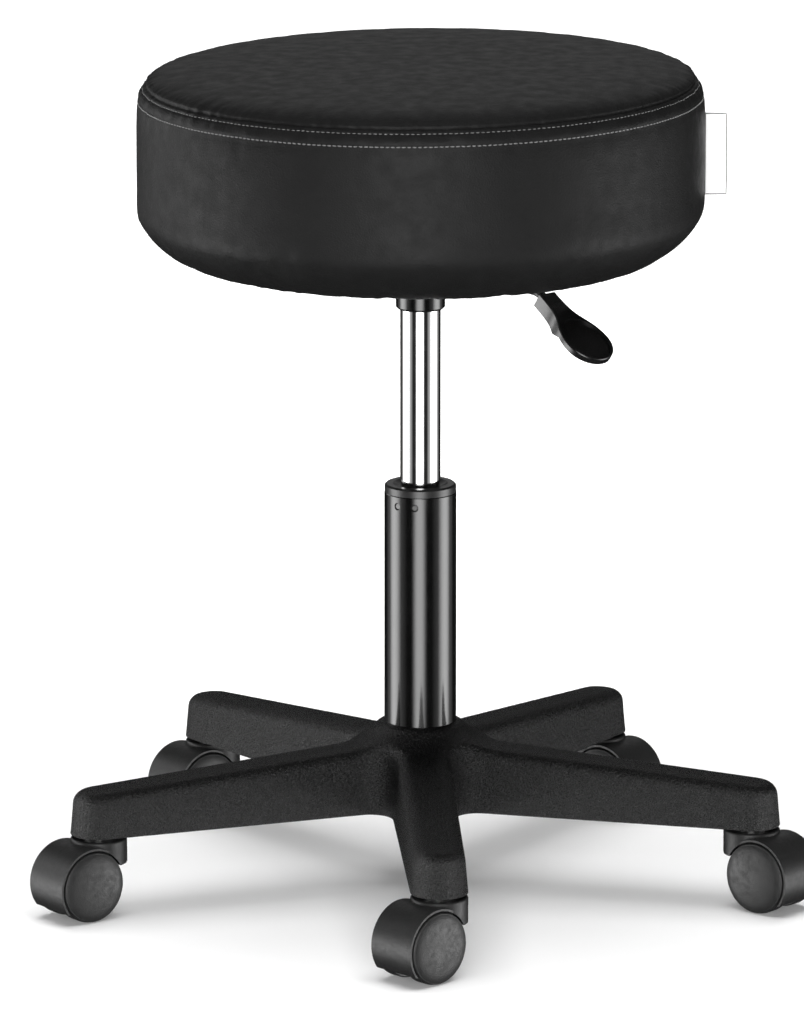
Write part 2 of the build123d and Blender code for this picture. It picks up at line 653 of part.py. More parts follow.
def make_lever_handle():
    """Moulded paddle pushed onto the rod: a deep neck that widens to a dished oval end."""
    slope = radians(HANDLE_DROOP)
    bend_height = PIVOT_HEIGHT - (LEVER_BEND - PIVOT_RADIUS) * tan(radians(LEVER_DROOP))
    neck_height = bend_height - (HANDLE_START - LEVER_BEND) * tan(slope)
    along = LEVER_PLANE.x_dir * cos(slope) - Vector(0, 0, sin(slope))
    neck_centre = LEVER_PLANE.from_local_coords((HANDLE_START, neck_height, 0))
    across = LEVER_PLANE.z_dir
    top_of_paddle = Plane(origin=neck_centre, x_dir=along, z_dir=along.cross(across) * -1)
    half_neck = NECK_WIDTH / 2
    half_paddle = PADDLE_WIDTH / 2
    paddle_centre = HANDLE_LENGTH - half_paddle
    with BuildPart() as handle:
        with BuildSketch(top_of_paddle.offset(-5.5)):
            with BuildLine():
                Line((0, -half_neck), (0, half_neck))
                Spline(
                    (0, half_neck),
                    (NECK_LENGTH - 4, half_neck + 2),
                    (paddle_centre, half_paddle),
                    tangents=[(1, 0), (1, 0)],
                )
                RadiusArc((paddle_centre, half_paddle), (paddle_centre, -half_paddle), half_paddle)
                Spline(
                    (paddle_centre, -half_paddle),
                    (NECK_LENGTH - 4, -half_neck - 2),
                    (0, -half_neck),
                    tangents=[(-1, 0), (-1, 0)],
                )
            make_face()
        extrude(amount=11)
        top_face = handle.faces().sort_by(Axis(neck_centre, top_of_paddle.z_dir))[-1]
        fillet(top_face.edges(), 1.6)
        # The paddle is thinner than the neck
        with BuildSketch(Plane(origin=neck_centre, x_dir=along, z_dir=across)):
            with BuildLine():
                Polyline(
                    (NECK_LENGTH, -7),
                    (NECK_LENGTH + 12, 0.5),
                    (HANDLE_LENGTH + 2, 0.5),
                    (HANDLE_LENGTH + 2, -7),
                    close=True,
                )
            make_face()
        extrude(amount=PADDLE_WIDTH, both=True, mode=Mode.SUBTRACT)
        # Dished thumb rest
        with BuildSketch(top_of_paddle.offset(5.5)):
            with Locations((paddle_centre - 2, 0)):
                Ellipse(half_paddle + 1, half_paddle - 3)
        extrude(amount=-1.4, mode=Mode.SUBTRACT)
        # Hole for the rod
        with BuildSketch(Plane(origin=neck_centre - along, z_dir=along)):
            Circle(LEVER_ROD_RADIUS + SNUG_FIT)
        extrude(amount=1.5 + 24 / cos(slope), mode=Mode.SUBTRACT)
    save(handle, "lever_handle")


make_lever_rod()
make_lever_handle()


# ---- Seat ----------------------------------------------------------------------------------

with BuildPart() as staples:
    leg_length = 7.0
    wire = 0.8
    with BuildSketch(Plane.XY.offset(DUST_COVER_BOTTOM - wire)):
        with PolarLocations(STAPLE_CIRCLE, STAPLE_COUNT):
            Rectangle(wire, 11)
    extrude(amount=wire)
    for side in (5.1, -5.1):
        with BuildSketch(Plane.XY.offset(DUST_COVER_BOTTOM - wire)):
            with PolarLocations(STAPLE_CIRCLE, STAPLE_COUNT):
                with Locations((0, side)):
                    Rectangle(wire, wire)
        extrude(amount=leg_length)
save(staples, "staples")

with BuildPart() as seat_board:
    with BuildSketch(Plane.XY.offset(BOARD_BOTTOM)):
        Circle(BOARD_RADIUS)
        with PolarLocations(BOLT_CIRCLE, 4, start_angle=PLATE_DIRECTIONS[0]):
            Circle(T_NUT_BARREL + SNUG_FIT, mode=Mode.SUBTRACT)
    extrude(amount=BOARD_THICKNESS)
    with BuildSketch(Plane.XY.offset(BOARD_TOP - WASHER_THICKNESS)):
        with PolarLocations(BOLT_CIRCLE, 4, start_angle=PLATE_DIRECTIONS[0]):
            Circle(T_NUT_FLANGE + SNUG_FIT)
    extrude(amount=WASHER_THICKNESS, mode=Mode.SUBTRACT)
    add(staples.part, mode=Mode.SUBTRACT)
save(seat_board, "seat_board")

with BuildPart() as dust_cover:
    with BuildSketch(Plane.XY.offset(DUST_COVER_BOTTOM)):
        Circle(DUST_COVER_RADIUS)
        with PolarLocations(BOLT_CIRCLE, 4, start_angle=PLATE_DIRECTIONS[0]):
            Circle(BOLT_RADIUS + 0.5, mode=Mode.SUBTRACT)
    extrude(amount=DUST_COVER_THICKNESS)
    add(staples.part, mode=Mode.SUBTRACT)
save(dust_cover, "dust_cover")


def draw_cushion_section(inset, lip):
    """Draw the cushion's half section in the open BuildLine, stood in by a distance.

    It runs from the radius lip on the underside to the crest, and returns its two ends.
    """
    side = SEAT_RADIUS - inset
    under = COVER_BOTTOM + inset
    crest = SEAT_CREST - inset
    seam = (SEAM_RADIUS - inset, SEAM_HEIGHT)
    corner = (side - CORNER_RADIUS, under)
    shoulder = (SEAM_RADIUS - SHOULDER_IN, crest - SHOULDER_DROP)
    Line((lip, under), corner)
    TangentArc(corner, (side, under + CORNER_RADIUS), tangent=(1, 0))
    Line((side, under + CORNER_RADIUS), (side, SIDE_TOP))
    TangentArc((side, SIDE_TOP), seam, tangent=(0, 1))
    TangentArc((CROWN_FLAT, crest), shoulder, tangent=(1, 0))
    ThreePointArc(seam, (SEAM_RADIUS - 4.5 - 0.7 * inset, SEAM_HEIGHT + 6.3 - 0.7 * inset), shoulder)
    Line((CROWN_FLAT, crest), (0, crest))
    return (lip, under), (0, crest)


with BuildPart() as foam_pad:
    foam_inset = COVER_THICKNESS + 0.3
    with BuildSketch(Plane.XZ):
        with BuildLine():
            start, end = draw_cushion_section(foam_inset, BOARD_RADIUS - 6)
            Polyline(end, (0, start[1]), start)
        make_face()
    revolve(axis=Axis.Z)
    with BuildSketch(Plane.XY.offset(COVER_BOTTOM)):
        Circle(BOARD_RADIUS + 0.3)
    extrude(amount=BOARD_TOP - COVER_BOTTOM + 0.1, mode=Mode.SUBTRACT)
save(foam_pad, "foam_pad")


def make_cover_skin(name, above_seam):
    """One panel of the vinyl cover: the top above the seam, or the band below it."""
    with BuildPart() as skin:
        with BuildSketch(Plane.XZ):
            with BuildLine():
                outer_start, outer_end = draw_cushion_section(0, LIP_RADIUS)
                inner_start, inner_end = draw_cushion_section(COVER_THICKNESS, LIP_RADIUS)
                Line(outer_start, inner_start)
                Line(outer_end, inner_end)
            make_face()
        revolve(axis=Axis.Z)
        keep = Keep.TOP if above_seam else Keep.BOTTOM
        split(bisect_by=Plane.XY.offset(SEAM_HEIGHT), keep=keep)
        if not above_seam:
            add(staples.part, mode=Mode.SUBTRACT)
    save(skin, name)


make_cover_skin("cover_top", True)
make_cover_skin("cover_band", False)

with BuildPart() as side_tag:
    tag_plane = Plane(
        origin=polar(SEAT_RADIUS + 0.1, TAG_DIRECTION, TAG_BOTTOM),
        x_dir=polar(1, TAG_DIRECTION),
        z_dir=(sin(radians(TAG_DIRECTION)), -cos(radians(TAG_DIRECTION)), 0),
    )
    with BuildSketch(tag_plane.offset(-TAG_THICKNESS / 2)):
        Rectangle(TAG_WIDTH, TAG_HEIGHT, align=(Align.MIN, Align.MIN))
    extrude(amount=TAG_THICKNESS)
save(side_tag, "side_tag")


# ---- Casters -------------------------------------------------------------------------------

with BuildPart() as caster_stems:
    for bottom, top, radius in (
        (STEM_FOOT_BOTTOM, BOSS_TOP + 0.1, STEM_FOOT_RADIUS),
        (BOSS_TOP + 0.1, ARM_BOTTOM, STEM_COLLAR_RADIUS),
        (ARM_BOTTOM, GRIP_RING_HEIGHT, STEM_RADIUS),
        (GRIP_RING_HEIGHT, GRIP_RING_HEIGHT + 3, STEM_RADIUS - 0.9),
        (GRIP_RING_HEIGHT + 3, STEM_TOP, STEM_RADIUS),
    ):
        with BuildSketch(Plane.XY.offset(bottom)):
            with PolarLocations(STEM_CIRCLE, ARM_COUNT, start_angle=FRONT_ARM):
                Circle(radius)
        extrude(amount=top - bottom)
save(caster_stems, "caster_stems")

with BuildPart() as stem_grip_rings:
    with BuildSketch(Plane.XY.offset(GRIP_RING_HEIGHT + 0.1)):
        with PolarLocations(STEM_CIRCLE, ARM_COUNT, start_angle=FRONT_ARM):
            Circle(STEM_RADIUS + 0.48)
            Circle(STEM_RADIUS - 0.8, mode=Mode.SUBTRACT)
        with PolarLocations(STEM_CIRCLE + STEM_RADIUS, ARM_COUNT, start_angle=FRONT_ARM):
            Rectangle(4, 2, mode=Mode.SUBTRACT)
    extrude(amount=2.8)
save(stem_grip_rings, "stem_grip_rings")


class CasterFrame:
    """Working planes of one caster, from its stem's place and the way it trails."""

    def __init__(self, arm_direction, heading):
        self.trail = Vector(*polar(1, heading))
        self.lateral = Vector(sin(radians(heading)), -cos(radians(heading)), 0)
        stem = polar(STEM_CIRCLE, arm_direction)
        self.plan = Plane(origin=stem, x_dir=self.trail, z_dir=(0, 0, 1))
        self.side = Plane(origin=stem, x_dir=self.trail, z_dir=self.lateral)
        self.axle_point = Vector(*stem) + self.trail * TRAIL + Vector(0, 0, WHEEL_RADIUS)


def make_caster_hood(frame, name):
    """Hood over both wheels, with the boss that turns on the stem and the web for the axle."""
    wheel_room = WHEEL_RADIUS + 0.6
    with BuildPart() as hood:
        with BuildSketch(frame.side):
            with Locations((TRAIL, WHEEL_RADIUS)):
                Circle(HOOD_RADIUS)
            with BuildLine():
                Polyline(
                    (TRAIL + 40, 10.5),
                    (TRAIL + 18, 8.5),
                    (TRAIL - 24, 23),
                    (TRAIL - 60, 24),
                    (TRAIL - 60, -10),
                    (TRAIL + 40, -10),
                    close=True,
                )
            make_face(mode=Mode.SUBTRACT)
        extrude(amount=HOOD_HALF_WIDTH, both=True)
        with BuildSketch(frame.plan.offset(BOSS_BOTTOM)):
            Circle(BOSS_RADIUS)
        extrude(amount=BOSS_TOP - BOSS_BOTTOM)
        fillet(hood.faces().sort_by(Axis.Z)[-1].edges(), 1.5)
        # Hollow of the boss, open below, either side of the web
        for side in (1, -1):
            with BuildSketch(frame.side.offset(side * WEB_HALF_WIDTH)):
                with Locations((-3, BOSS_TOP - 22.5)):
                    Rectangle(24, 32)
            extrude(amount=side * 7.5, mode=Mode.SUBTRACT)
            # The hood's rim stops short on the boss's side
            with BuildSketch(frame.side.offset(side * WEB_HALF_WIDTH)):
                with BuildLine():
                    Polyline((TRAIL - 60, 37), (TRAIL - 22, 37), (TRAIL - 6, -5), (TRAIL - 60, -5), close=True)
                make_face()
            extrude(amount=side * 15, mode=Mode.SUBTRACT)
            with BuildSketch(frame.side.offset(side * WEB_HALF_WIDTH)):
                with Locations((TRAIL, WHEEL_RADIUS)):
                    Circle(wheel_room)
            extrude(amount=side * 15, mode=Mode.SUBTRACT)
        # Bores for the stem and the axle
        with BuildSketch(frame.plan.offset(STEM_FOOT_BOTTOM - 1)):
            Circle(STEM_FOOT_RADIUS + RUNNING_FIT)
        extrude(amount=40, mode=Mode.SUBTRACT)
        with BuildSketch(frame.side.offset(-10)):
            with Locations((TRAIL, WHEEL_RADIUS)):
                Circle(AXLE_RADIUS + SNUG_FIT)
        extrude(amount=20, mode=Mode.SUBTRACT)
    save(hood, name)


def make_caster_axle(frame, name):
    """Plain steel pin through the hood's web."""
    with BuildPart() as axle:
        with BuildSketch(frame.side.offset(-AXLE_HALF_LENGTH)):
            with Locations((TRAIL, WHEEL_RADIUS)):
                Circle(AXLE_RADIUS)
        extrude(amount=2 * AXLE_HALF_LENGTH)
    save(axle, name)


def make_caster_wheel(frame, side, name):
    """Cup-shaped wheel: hub, tread and a domed cap that closes its outer face."""
    outward = frame.lateral * side
    section = Plane(origin=frame.axle_point, x_dir=outward, z_dir=outward.cross(Vector(0, 0, 1)))
    with BuildPart() as wheel:
        with BuildSketch(section):
            with BuildLine():
                Polyline(
                    (AXLE_HALF_LENGTH + 0.5, 0),
                    (AXLE_HALF_LENGTH + 0.5, AXLE_RADIUS + RUNNING_FIT),
                    (WHEEL_INNER_FACE, AXLE_RADIUS + RUNNING_FIT),
                    (WHEEL_INNER_FACE, AXLE_RADIUS + 3),
                    (TREAD_OUTER_FACE - 3.5, AXLE_RADIUS + 4),
                    (TREAD_OUTER_FACE - 3.5, WHEEL_RADIUS - 4.5),
                    (WHEEL_INNER_FACE, WHEEL_RADIUS - 3.5),
                    (WHEEL_INNER_FACE, WHEEL_RADIUS - 0.8),
                    (WHEEL_INNER_FACE + 0.8, WHEEL_RADIUS),
                    (TREAD_OUTER_FACE - 0.8, WHEEL_RADIUS),
                    (TREAD_OUTER_FACE, WHEEL_RADIUS - 0.8),
                    (TREAD_OUTER_FACE, CAP_RADIUS - 1.2),
                    (TREAD_OUTER_FACE + 0.8, CAP_RADIUS - 1.2),
                    (TREAD_OUTER_FACE + 0.8, CAP_RADIUS),
                    (CAP_RIM_FACE - 1.0, CAP_RADIUS),
                )
                RadiusArc((CAP_RIM_FACE - 1.0, CAP_RADIUS), (CAP_RIM_FACE, CAP_RADIUS - 1.0), 1.0)
                Spline(
                    (CAP_RIM_FACE, CAP_RADIUS - 1.0),
                    (CAP_CREST - 0.9, CAP_RADIUS - 8),
                    (CAP_CREST, 0),
                    tangents=[(0.5, -1), (0, -1)],
                )
                Line((CAP_CREST, 0), (AXLE_HALF_LENGTH + 0.5, 0))
            make_face()
        revolve(axis=Axis(frame.axle_point, outward))
    save(wheel, name)


for index, arm_name in enumerate(ARM_NAMES):
    caster_frame = CasterFrame(FRONT_ARM + 360 / ARM_COUNT * index, CASTER_HEADINGS[index])
    make_caster_hood(caster_frame, f"{arm_name}_caster_hood")
    make_caster_axle(caster_frame, f"{arm_name}_caster_axle")
    make_caster_wheel(caster_frame, 1, f"{arm_name}_caster_wheel_a")
    make_caster_wheel(caster_frame, -1, f"{arm_name}_caster_wheel_b")
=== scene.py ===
"""Looks of the adjustable swivel stool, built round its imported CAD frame.

Metres, +Z up along the column's axis, the floor at z = 0 and the front arm along -Y.
"""

from math import cos, pi, radians, sin, tau

import bpy
import numpy as np
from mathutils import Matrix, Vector
from mathutils.bvhtree import BVHTree


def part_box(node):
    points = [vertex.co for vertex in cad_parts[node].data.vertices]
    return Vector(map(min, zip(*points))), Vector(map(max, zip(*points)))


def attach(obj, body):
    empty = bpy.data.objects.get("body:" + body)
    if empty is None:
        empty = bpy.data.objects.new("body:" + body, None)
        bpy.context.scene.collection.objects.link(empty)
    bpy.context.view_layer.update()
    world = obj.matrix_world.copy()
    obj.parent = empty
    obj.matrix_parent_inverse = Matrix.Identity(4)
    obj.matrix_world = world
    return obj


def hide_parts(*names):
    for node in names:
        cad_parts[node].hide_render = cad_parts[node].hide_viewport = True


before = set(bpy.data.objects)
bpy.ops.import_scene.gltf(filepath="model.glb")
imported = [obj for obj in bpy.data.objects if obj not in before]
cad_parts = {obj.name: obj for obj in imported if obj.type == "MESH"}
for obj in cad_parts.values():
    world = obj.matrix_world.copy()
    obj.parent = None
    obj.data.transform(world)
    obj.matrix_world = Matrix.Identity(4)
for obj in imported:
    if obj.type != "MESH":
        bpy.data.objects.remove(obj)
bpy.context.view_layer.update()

MM = 0.001
ARMS = ("front", "front_right", "rear_right", "rear_left", "front_left")


# ---------------------------------------------------------------- materials
class Shade:
    """A material with one Principled shader, and short ways to add nodes to it."""

    def __init__(self, name, colour, roughness, metallic=0.0, specular=0.5):
        self.material = bpy.data.materials.new(name)
        self.material.use_nodes = True
        self.nodes = self.material.node_tree.nodes
        self.links = self.material.node_tree.links
        self.shader = self.nodes["Principled BSDF"]
        self.shader.inputs["Base Color"].default_value = (*colour, 1)
        self.shader.inputs["Roughness"].default_value = roughness
        self.shader.inputs["Metallic"].default_value = metallic
        self.shader.inputs["Specular IOR Level"].default_value = specular
        self.shader.inputs["IOR"].default_value = 1.5
        self.place = self.nodes.new("ShaderNodeTexCoord").outputs["Object"]
        self.relief = None
        self.material.diffuse_color = (*colour, 1)

    def stretched(self, scale):
        """Object coordinates, scaled by a different amount along each axis."""
        node = self.nodes.new("ShaderNodeMapping")
        node.inputs["Scale"].default_value = scale
        self.links.new(self.place, node.inputs["Vector"])
        return node.outputs["Vector"]

    def noise(self, scale, detail=2.0, roughness=0.5, place=None):
        node = self.nodes.new("ShaderNodeTexNoise")
        node.inputs["Scale"].default_value = scale
        node.inputs["Detail"].default_value = detail
        node.inputs["Roughness"].default_value = roughness
        self.links.new(place or self.place, node.inputs["Vector"])
        return node.outputs["Fac"]

    def cells(self, scale, feature="F1", randomness=1.0):
        node = self.nodes.new("ShaderNodeTexVoronoi")
        node.feature = feature
        node.inputs["Scale"].default_value = scale
        node.inputs["Randomness"].default_value = randomness
        self.links.new(self.place, node.inputs["Vector"])
        return node.outputs["Distance"]

    def waves(self, scale, direction, distortion=0.0):
        node = self.nodes.new("ShaderNodeTexWave")
        node.bands_direction = direction
        node.inputs["Scale"].default_value = scale
        node.inputs["Distortion"].default_value = distortion
        self.links.new(self.place, node.inputs["Vector"])
        return node.outputs["Fac"]

    def remap(self, value, low, high, to_low=0.0, to_high=1.0):
        node = self.nodes.new("ShaderNodeMapRange")
        for key, number in zip(("From Min", "From Max", "To Min", "To Max"), (low, high, to_low, to_high)):
            node.inputs[key].default_value = number
        self.links.new(value, node.inputs["Value"])
        return node.outputs["Result"]

    def maths(self, first, second, operation="ADD"):
        """Two values, or a value and a number, joined by one sum or product."""
        node = self.nodes.new("ShaderNodeMath")
        node.operation = operation
        for socket, value in zip(node.inputs, (first, second)):
            if isinstance(value, float):
                socket.default_value = value
            else:
                self.links.new(value, socket)
        return node.outputs["Value"]

    def bump(self, height, distance, strength=1.0):
        """Add relief; each call stacks on the one before."""
        node = self.nodes.new("ShaderNodeBump")
        node.inputs["Distance"].default_value = distance
        node.inputs["Strength"].default_value = strength
        self.links.new(height, node.inputs["Height"])
        if self.relief:
            self.links.new(self.relief, node.inputs["Normal"])
        self.relief = node.outputs["Normal"]
        self.links.new(self.relief, self.shader.inputs["Normal"])

    def colours(self, value, dark, light):
        """Let the base colour wander between two colours."""
        node = self.nodes.new("ShaderNodeMix")
        node.data_type = "RGBA"
        node.inputs["A"].default_value = (*dark, 1)
        node.inputs["B"].default_value = (*light, 1)
        self.links.new(value, node.inputs["Factor"])
        self.links.new(node.outputs["Result"], self.shader.inputs["Base Color"])

    def roughness(self, value, low, high, to_low, to_high):
        """Let the roughness wander between to_low and to_high."""
        self.links.new(self.remap(value, low, high, to_low, to_high), self.shader.inputs["Roughness"])


def grey(value, warm=0.0):
    """A linear grey, a little red for a positive warm."""
    return (value * (1 + warm), value, value * (1 - warm))


def make_vinyl():
    s = Shade("vinyl", grey(0.0055), 0.5, specular=0.16)
    warp = s.noise(260.0, 2.0)
    pebbles = s.cells(820.0, "SMOOTH_F1")
    creases = s.cells(520.0, "DISTANCE_TO_EDGE")
    grain = s.maths(s.remap(pebbles, 0.05, 0.75), s.remap(creases, 0.0, 0.22), "MULTIPLY")
    s.bump(warp, 0.0004, 0.25)
    s.bump(grain, 0.00016, 0.65)
    s.colours(s.noise(35.0, 3.0), grey(0.0045), grey(0.0065))
    s.roughness(s.noise(90.0, 3.0), 0.3, 0.7, 0.46, 0.58)
    return s.material


def make_thread():
    s = Shade("sewing_thread", grey(0.13), 0.65)
    twist = s.waves(900.0, "DIAGONAL", 1.5)
    s.bump(twist, 0.00012, 0.8)
    s.colours(s.noise(700.0, 2.0), grey(0.08), grey(0.19))
    s.shader.inputs["Sheen Weight"].default_value = 0.1
    return s.material


def make_nylon():
    s = Shade("textured_nylon", grey(0.004), 0.3, specular=0.36)
    s.bump(s.noise(60.0, 2.0), 0.0006, 0.2)
    s.bump(s.noise(520.0, 3.0, 0.7), 0.0015, 1.0)
    s.colours(s.noise(420.0, 2.0), grey(0.002), grey(0.006))
    s.roughness(s.noise(1400.0, 1.0), 0.35, 0.65, 0.2, 0.36)
    return s.material


def make_caster_plastic():
    s = Shade("caster_nylon", grey(0.010), 0.40, specular=0.35)
    s.bump(s.noise(1500.0, 2.0), 0.00022, 0.5)
    s.colours(s.noise(160.0, 3.0), grey(0.008), grey(0.013))
    s.roughness(s.noise(380.0, 3.0), 0.3, 0.7, 0.36, 0.50)
    return s.material


def make_wheel_plastic():
    s = Shade("wheel_nylon", grey(0.012), 0.40, specular=0.35)
    s.bump(s.noise(1300.0, 2.0), 0.00020, 0.5)
    s.colours(s.noise(120.0, 3.0), grey(0.009), grey(0.015))
    s.roughness(s.noise(260.0, 3.0), 0.3, 0.7, 0.34, 0.50)
    return s.material


def make_tube_paint():
    s = Shade("gloss_black_paint", grey(0.002), 0.12, specular=0.6)
    s.bump(s.noise(420.0, 2.0), 0.00005, 0.35)
    s.colours(s.noise(200.0, 2.0), grey(0.0015), grey(0.003))
    s.roughness(s.noise(70.0, 3.0), 0.3, 0.7, 0.10, 0.15)
    return s.material


def make_chrome():
    s = Shade("chrome_plate", grey(0.82), 0.06, metallic=1.0)
    lines = s.noise(60.0, 3.0, 0.6, s.stretched((18.0, 18.0, 1.0)))
    s.bump(lines, 0.00001, 0.2)
    s.colours(s.noise(40.0, 2.0), grey(0.76), grey(0.86))
    s.roughness(s.noise(90.0, 4.0, 0.6), 0.3, 0.7, 0.05, 0.11)
    return s.material


def make_metal(name, shade, roughness, spread, scale=500.0):
    s = Shade(name, grey(shade), roughness, metallic=1.0)
    s.bump(s.noise(scale, 3.0), 0.00004, 0.4)
    s.colours(s.noise(90.0, 3.0), grey(shade * 0.8, 0.01), grey(shade * 1.1, -0.01))
    s.roughness(s.noise(160.0, 3.0), 0.3, 0.7, roughness - spread, roughness + spread)
    return s.material


def make_satin_paint():
    s = Shade("satin_black_paint", grey(0.010), 0.4)
    s.bump(s.noise(800.0, 2.0), 0.00015, 0.4)
    s.colours(s.noise(120.0, 3.0), grey(0.007), grey(0.015))
    s.roughness(s.noise(60.0, 3.0), 0.3, 0.7, 0.32, 0.48)
    return s.material


def make_lever_plastic():
    s = Shade("gloss_moulding", grey(0.004), 0.2)
    s.bump(s.noise(350.0, 2.0), 0.00008, 0.3)
    s.colours(s.noise(150.0, 2.0), grey(0.003), grey(0.006))
    s.roughness(s.noise(120.0, 3.0), 0.3, 0.7, 0.15, 0.27)
    return s.material


def make_rubber():
    s = Shade("seal_rubber", grey(0.02), 0.7)
    s.bump(s.noise(900.0, 2.0), 0.0001, 0.5)
    s.colours(s.noise(200.0, 3.0), grey(0.014), grey(0.028))
    return s.material


def make_bush_plastic():
    s = Shade("bush_plastic", grey(0.010), 0.3)
    s.bump(s.noise(700.0, 2.0), 0.00008, 0.4)
    s.colours(s.noise(200.0, 3.0), grey(0.008), grey(0.018))
    return s.material


def make_plywood():
    s = Shade("birch_ply", (0.52, 0.37, 0.22), 0.6)
    grain = s.noise(25.0, 5.0, 0.6, s.stretched((1.0, 12.0, 12.0)))
    plies = s.waves(110.0, "Z", 1.0)
    s.bump(grain, 0.0003, 0.4)
    s.bump(plies, 0.0002, 0.3)
    s.colours(s.maths(grain, s.maths(plies, 0.35, "MULTIPLY")), (0.34, 0.22, 0.12), (0.68, 0.52, 0.34))
    return s.material


def make_non_woven():
    s = Shade("non_woven_cloth", grey(0.02), 0.85)
    fibres = s.noise(900.0, 6.0, 0.7)
    welds = s.cells(420.0, "F1", randomness=0.0)
    s.bump(fibres, 0.0002, 0.6)
    s.bump(s.remap(welds, 0.1, 0.4), 0.0002, 0.6)
    s.colours(fibres, grey(0.010), grey(0.035))
    s.shader.inputs["Sheen Weight"].default_value = 0.2
    return s.material


def make_ribbon():
    s = Shade("tag_ribbon", grey(0.88), 0.55)
    weave = s.maths(s.waves(1300.0, "Z"), s.waves(1300.0, "X"), "MULTIPLY")
    s.bump(weave, 0.00008, 0.5)
    s.colours(s.noise(300.0, 3.0), grey(0.84, 0.005), grey(0.92))
    s.shader.inputs["Sheen Weight"].default_value = 0.3
    return s.material


def make_border_thread():
    s = Shade("tag_border_thread", grey(0.06), 0.6)
    s.bump(s.waves(1500.0, "Z"), 0.00006, 0.6)
    s.colours(s.noise(600.0, 2.0), grey(0.04), grey(0.09))
    return s.material


def paint(material, *names):
    """Give CAD nodes a material in place of the one they were packed with."""
    for name in names:
        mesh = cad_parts[name].data
        mesh.materials.clear()
        mesh.materials.append(material)


VINYL = make_vinyl()
THREAD = make_thread()
STEEL = make_metal("zinc_plated_steel", 0.55, 0.35, 0.08)
GROUND = make_metal("ground_steel", 0.62, 0.22, 0.06, 900.0)
SATIN = make_satin_paint()
CASTER = make_caster_plastic()
WHEEL = make_wheel_plastic()

paint(make_nylon(), "star_base")
paint(make_tube_paint(), "outer_tube", "cone_socket")
paint(make_bush_plastic(), "guide_bush", "ball_cage")
paint(make_chrome(), "gas_cylinder")
paint(SATIN, "seat_plate", "lever_rod")
paint(make_lever_plastic(), "lever_handle")
paint(make_rubber(), "piston_ring", "rod_seal", "bumper")
paint(make_plywood(), "seat_board")
paint(
    STEEL, "caster_stems", "stem_grip_rings", "lower_race", "upper_race", "rod_clip", "bearing_balls",
    "seat_bolts", "bolt_washers", "t_nuts", "lever_pin", "valve_body", "pressure_tube", "staples",
)
paint(GROUND, "piston_rod", "piston", "rod_guide", "release_button")
paint(GROUND, *(f"{arm}_caster_axle" for arm in ARMS))
paint(CASTER, *(f"{arm}_caster_hood" for arm in ARMS))
paint(WHEEL, *(f"{arm}_caster_wheel_{side}" for arm in ARMS for side in "ab"))


# ---------------------------------------------------------------- meshes
def new_piece(name, points, faces, material):
    """A smooth-shaded piece that rides on the seat."""
    mesh = bpy.data.meshes.new(name)
    mesh.from_pydata([tuple(p) for p in points], [], faces)
    mesh.validate()
    mesh.update()
    piece = bpy.data.objects.new(name, mesh)
    bpy.context.collection.objects.link(piece)
    mesh.materials.append(material)
    mesh.polygons.foreach_set("use_smooth", [True] * len(mesh.polygons))
    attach(piece, "seat")
    return piece


def grid_faces(rows, columns, first=0):
    """Quads between rows of points that each close on themselves."""
    faces = []
    for i in range(rows - 1):
        for j in range(columns):
            k = (j + 1) % columns
            a, b = first + i * columns, first + (i + 1) * columns
            faces.append((a + j, a + k, b + k, b + j))
    return faces


def resample(points, steps):
    """Points along a line of straight runs, spaced as near as can be to each run's step."""
    out = [points[0]]
    for a, b, step in zip(points[:-1], points[1:], steps):
        count = max(1, round(float(np.hypot(*(b - a))) / step))
        out += [a + (b - a) * k / count for k in range(1, count + 1)]
    return np.array(out)


def smooth_line(points, per_span=12):
    """A Catmull-Rom curve through points, for the cushion's section."""
    p = np.array(points, float)
    p = np.vstack([2 * p[0] - p[1], p, 2 * p[-1] - p[-2]])
    t = np.linspace(0, 1, per_span, endpoint=False)[:, None]
    spans = []
    for a, b, c, d in zip(p[:-3], p[1:-2], p[2:-1], p[3:]):
        bend = (2 * a - 5 * b + 4 * c - d) * t**2
        twist = (3 * b - 3 * c + d - a) * t**3
        spans.append(0.5 * (2 * b + (c - a) * t + bend + twist))
    return np.vstack([*spans, p[-2:-1]])


# ---------------------------------------------------------------- cushion
BAND_LOW, BAND_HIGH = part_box("cover_band")
SEAT_RADIUS = BAND_HIGH.y
SEAT_UNDER = BAND_LOW.z
SEAT_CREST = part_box("cover_top")[1].z
BOARD_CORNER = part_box("seat_board")[1]
BOARD_RADIUS = BOARD_CORNER.y
BOARD_TOP = BOARD_CORNER.z
LIP_RADIUS = BOARD_RADIUS - 18 * MM
CORNER_WIDTH = 44 * MM
CORNER_HEIGHT = 35.5 * MM
CORNER_ROUNDNESS = 1.25  # 1 gives a quarter of an ellipse, more gives a slacker corner
UNDER_BULGE = 1.5 * MM  # how far the padding hangs below the board round its edge
UPPER_STITCH = (190.8 * MM, 563.6 * MM)  # radius and height, as are the next two
LOWER_STITCH = (193.8 * MM, 555.4 * MM)
SEAM_JOIN = (188.6 * MM, 566.7 * MM)  # where the top panel meets the strip under it
SEAM_DIRECTION = radians(-3.0)
ROLL = 0.0104  # slope of the upholstery across the seat, which sits a little lower on the left


